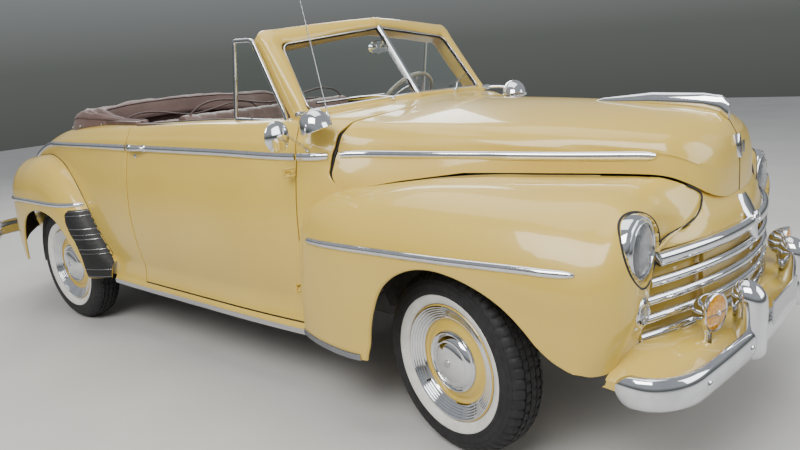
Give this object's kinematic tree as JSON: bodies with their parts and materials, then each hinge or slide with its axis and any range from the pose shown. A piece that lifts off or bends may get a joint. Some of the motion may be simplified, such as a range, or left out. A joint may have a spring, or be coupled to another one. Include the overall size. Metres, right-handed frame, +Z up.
{
  "type": "two-door convertible car",
  "caption": "Late 1940s style two-door convertible with folded roof, opening doors, hood and trunk lid, steered front wheels and rolling whitewall wheels.",
  "frame": {"origin": "on the ground, midway between the front and rear bumper guards, on the centre plane of the body", "axes": "+X towards the front, +Y to the car's left, +Z up"},
  "size_m": [5.034, 1.921, 2.0504],
  "materials": {
    "body_paint": "gloss pale yellow",
    "boot_fabric": "brown canvas",
    "carpet": "brown carpet",
    "chassis_black": "satin black",
    "chrome": "polished",
    "dash_paint": "tan gloss",
    "engine_iron": "painted iron",
    "glass": "clear",
    "radiator_black": "matt black",
    "red_lens": "clear red",
    "rubber": "ribbed black",
    "seat_leather": "matt brown",
    "steel": "dull",
    "tyre": "black rubber",
    "wheel_paint": "gloss pale yellow",
    "wheel_plastic": "grey-beige"
  },
  "bodies": {
    "body": {"antenna": "chrome", "chassis_frame": "chassis_black", "cowl": "body_paint", "dashboard": "dash_paint", "engine_block": "engine_iron", "exhaust": "steel", "floor_pan": "carpet", "fog_lamps": "chrome", "front_axle": "chassis_black", "front_bumper": "chrome", "front_fender_left": "body_paint", "front_fender_right": "body_paint", "front_seat": "seat_leather", "fuel_tank": "chassis_black", "grille_bars": "chrome", "grille_panel": "body_paint", "headlamps": "chrome", "radiator": "radiator_black", "rear_axle": "chassis_black", "rear_body": "body_paint", "rear_bumper": "chrome", "rear_fender_left": "body_paint", "rear_fender_right": "body_paint", "rear_seat": "seat_leather", "rocker_panels": "rubber", "side_mirror": "chrome", "spot_lamps": "chrome", "steering_column": "wheel_plastic", "tail_lamps": "red_lens", "top_boot": "boot_fabric", "windshield_frame": "body_paint", "windshield_glass": "glass"},
    "hood": {"hood": "body_paint"},
    "trunk_lid": {"trunk_lid": "body_paint"},
    "door_left": {"door_left": "body_paint"},
    "door_right": {"door_right": "body_paint"},
    "steering_wheel": {"steering_wheel": "wheel_plastic"},
    "knuckle_left": {"knuckle_left": "chassis_black"},
    "knuckle_right": {"knuckle_right": "chassis_black"},
    "tie_rod": {"tie_rod": "chassis_black"},
    "wheel_fl": {"wheel_fl": "wheel_paint", "tyre_fl": "tyre"},
    "wheel_fr": {"wheel_fr": "wheel_paint", "tyre_fr": "tyre"},
    "wheel_rl": {"wheel_rl": "wheel_paint", "tyre_rl": "tyre"},
    "wheel_rr": {"wheel_rr": "wheel_paint", "tyre_rr": "tyre"}
  },
  "joints": [
    {"name": "steer_left", "type": "hinge", "parent": "body", "child": "knuckle_left", "pos_m": [1.599, 0.668, 0.35], "axis": [0, 0, 1], "range_deg": [-19, 41]},
    {"name": "steer_right", "type": "hinge", "parent": "body", "child": "knuckle_right", "pos_m": [1.599, -0.668, 0.35], "axis": [0, 0, 1], "range_deg": [-19, 41]},
    {"name": "tie_rod_pivot", "type": "hinge", "parent": "knuckle_left", "child": "tie_rod", "pos_m": [1.46157, 0.69471, 0.272], "axis": [0, 0, 1], "range_deg": [-41, 19]},
    {"name": "steering_wheel_turn", "type": "hinge", "parent": "body", "child": "steering_wheel", "pos_m": [0.5, 0.38, 1.15], "axis": [-0.8, 0, 0.6], "range_deg": [-266, 574]},
    {"name": "spin_fl", "type": "hinge", "parent": "knuckle_left", "child": "wheel_fl", "pos_m": [1.61207, 0.73524, 0.35], "axis": [0.1908, 0.9816, 0], "continuous": true},
    {"name": "spin_fr", "type": "hinge", "parent": "knuckle_right", "child": "wheel_fr", "pos_m": [1.58593, -0.73524, 0.35], "axis": [0.1908, 0.9816, 0], "continuous": true},
    {"name": "spin_rl", "type": "hinge", "parent": "body", "child": "wheel_rl", "pos_m": [-1.297, 0.762, 0.35], "axis": [0, 1, 0], "continuous": true},
    {"name": "spin_rr", "type": "hinge", "parent": "body", "child": "wheel_rr", "pos_m": [-1.297, -0.762, 0.35], "axis": [0, 1, 0], "continuous": true},
    {"name": "door_left_hinge", "type": "hinge", "parent": "body", "child": "door_left", "pos_m": [0.8, 0.825, 0.8], "axis": [0, 0, -1], "range_deg": [0, 65]},
    {"name": "door_right_hinge", "type": "hinge", "parent": "body", "child": "door_right", "pos_m": [0.8, -0.825, 0.8], "axis": [0, 0, 1], "range_deg": [0, 65]},
    {"name": "hood_hinge", "type": "hinge", "parent": "body", "child": "hood", "pos_m": [0.93, 0, 1.216], "axis": [0, -1, 0], "range_deg": [0, 45]},
    {"name": "trunk_hinge", "type": "hinge", "parent": "body", "child": "trunk_lid", "pos_m": [-1.572, 0, 1.168], "axis": [0, 1, 0], "range_deg": [0, 60]}
  ],
  "couplings": [
    {"joint": "steer_right", "follows": "steer_left", "ratio": 1},
    {"joint": "tie_rod_pivot", "follows": "steer_left", "ratio": -1},
    {"joint": "steering_wheel_turn", "follows": "steer_left", "ratio": 14}
  ]
}
